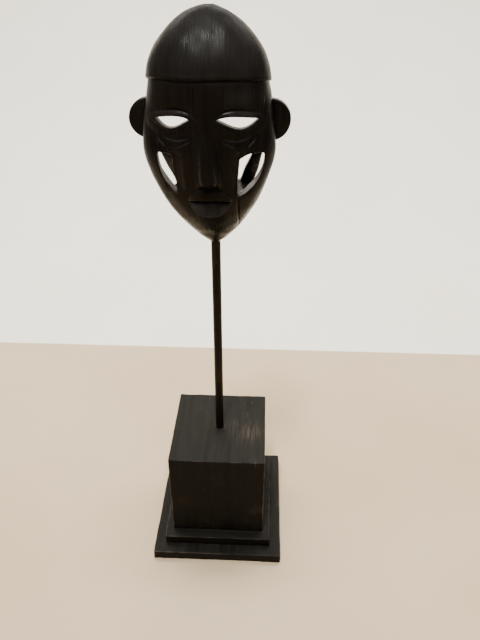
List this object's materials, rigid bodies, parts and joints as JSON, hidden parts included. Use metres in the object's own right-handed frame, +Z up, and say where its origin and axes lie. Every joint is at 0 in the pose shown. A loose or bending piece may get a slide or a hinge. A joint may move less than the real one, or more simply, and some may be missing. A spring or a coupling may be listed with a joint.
{
  "type": "carved mask on stand",
  "caption": "Carved hollow wooden face mask with pierced cheeks and round ears, held by a steel rod on a stepped wooden pedestal.",
  "frame": {"origin": "middle of the underside of the base board, on the rod's axis", "axes": "+Z up along the rod, -Y towards the front of the face, +X to the right of someone facing the mask"},
  "size_m": [0.14, 0.152, 0.5425],
  "materials": {
    "mask_wood": "satin",
    "stand_wood": "satin",
    "rod_steel": "satin",
    "screw_steel": "satin"
  },
  "bodies": {
    "stand": {"base_board": "stand_wood", "step_board": "stand_wood", "pedestal_block": "stand_wood", "base_screw_1": "screw_steel", "base_screw_2": "screw_steel", "base_screw_3": "screw_steel", "base_screw_4": "screw_steel"},
    "rod": {"support_rod": "rod_steel"},
    "mask": {"mask": "mask_wood"}
  },
  "joints": [
    {"name": "rod_turn", "type": "hinge", "parent": "stand", "child": "rod", "pos_m": [0, 0, 0.13], "axis": [0, 0, 1], "continuous": true},
    {"name": "mask_lift", "type": "slide", "parent": "rod", "child": "mask", "axis": [0, 0, 1], "range_m": [0, 0.04]}
  ]
}
